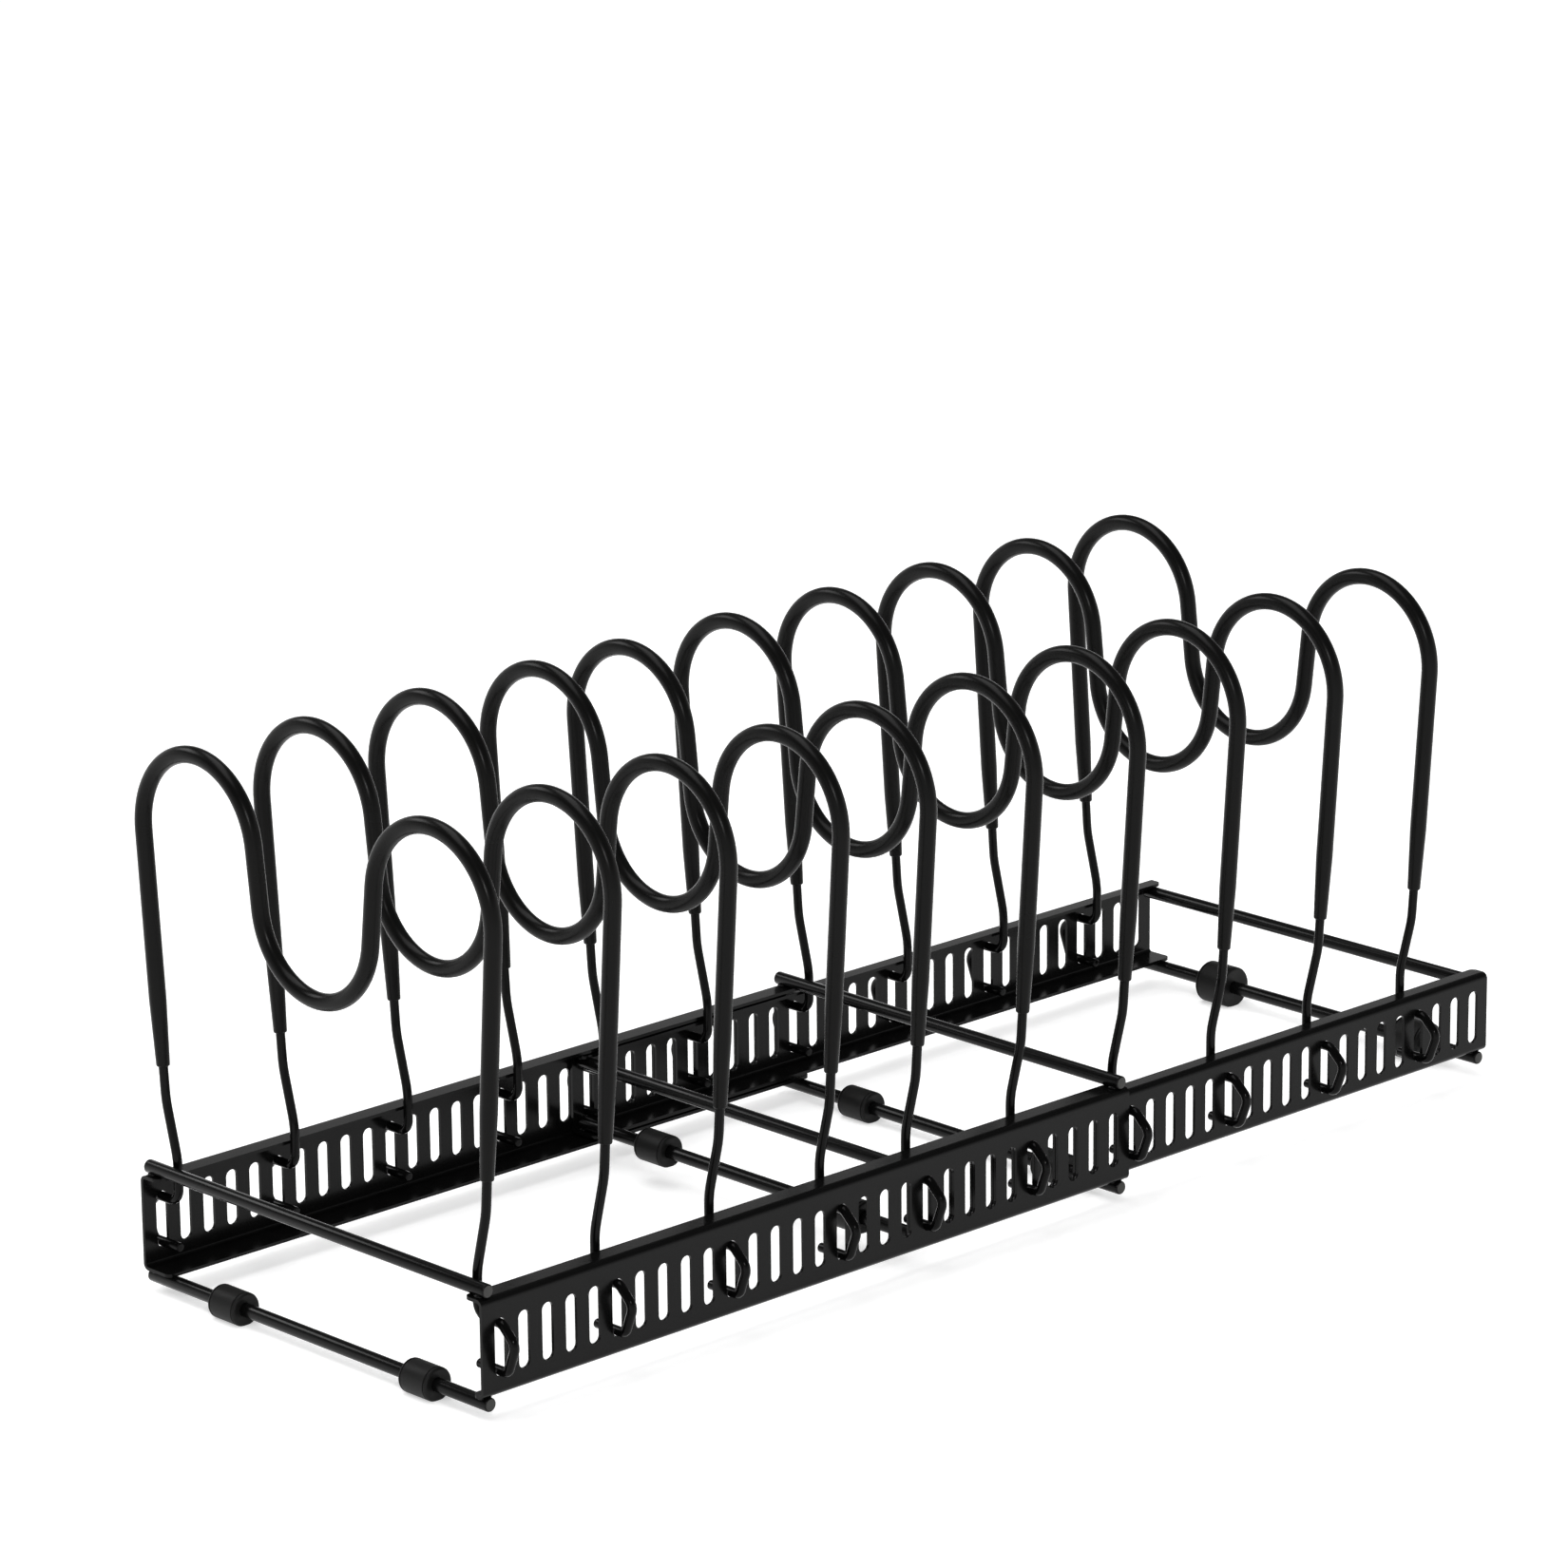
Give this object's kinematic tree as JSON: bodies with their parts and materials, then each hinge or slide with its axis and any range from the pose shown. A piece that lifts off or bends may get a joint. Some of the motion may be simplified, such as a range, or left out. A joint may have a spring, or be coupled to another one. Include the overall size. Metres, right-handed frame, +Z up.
{
  "type": "pot lid rack",
  "caption": "Expandable pot lid rack: slotted folded rails on cross rods with rubber feet, and M-shaped sleeved wire dividers hooked into the slots.",
  "frame": {"origin": "middle of the rack's plan, on the surface that the rubber feet stand on", "axes": "+X along the rack from its outer half to its inner half, +Y from its front rails to its back rails, +Z up"},
  "size_m": [0.5167, 0.1972, 0.2015],
  "materials": {
    "rail_coating": "semi-gloss black coating on folded, punched steel sheet, with sharp soft-edged reflections",
    "rod_coating": "semi-gloss black coating on round steel rod",
    "wire_coating": "semi-gloss black coating on bent steel wire",
    "sleeve_vinyl": "satin black soft vinyl sleeve with a fine grain and broad highlights",
    "foot_rubber": "matte black moulded rubber ring"
  },
  "bodies": {
    "root": {"outer_front_rail": "rail_coating", "outer_back_rail": "rail_coating", "inner_front_rail": "rail_coating", "inner_back_rail": "rail_coating", "outer_left_top_rod": "rod_coating", "outer_right_top_rod": "rod_coating", "inner_left_top_rod": "rod_coating", "inner_right_top_rod": "rod_coating", "outer_left_bottom_rod": "rod_coating", "outer_right_bottom_rod": "rod_coating", "inner_left_bottom_rod": "rod_coating", "inner_right_bottom_rod": "rod_coating", "outer_left_front_foot": "foot_rubber", "outer_left_back_foot": "foot_rubber", "outer_right_front_foot": "foot_rubber", "outer_right_back_foot": "foot_rubber", "inner_left_front_foot": "foot_rubber", "inner_left_back_foot": "foot_rubber", "inner_right_front_foot": "foot_rubber", "inner_right_back_foot": "foot_rubber", "divider_1": "wire_coating", "divider_2": "wire_coating", "divider_3": "wire_coating", "divider_4": "wire_coating", "divider_5": "wire_coating", "divider_6": "wire_coating", "divider_7": "wire_coating", "divider_8": "wire_coating", "divider_9": "wire_coating", "divider_10": "wire_coating", "divider_sleeve_1": "sleeve_vinyl", "divider_sleeve_2": "sleeve_vinyl", "divider_sleeve_3": "sleeve_vinyl", "divider_sleeve_4": "sleeve_vinyl", "divider_sleeve_5": "sleeve_vinyl", "divider_sleeve_6": "sleeve_vinyl", "divider_sleeve_7": "sleeve_vinyl", "divider_sleeve_8": "sleeve_vinyl", "divider_sleeve_9": "sleeve_vinyl", "divider_sleeve_10": "sleeve_vinyl"}
  },
  "joints": []
}
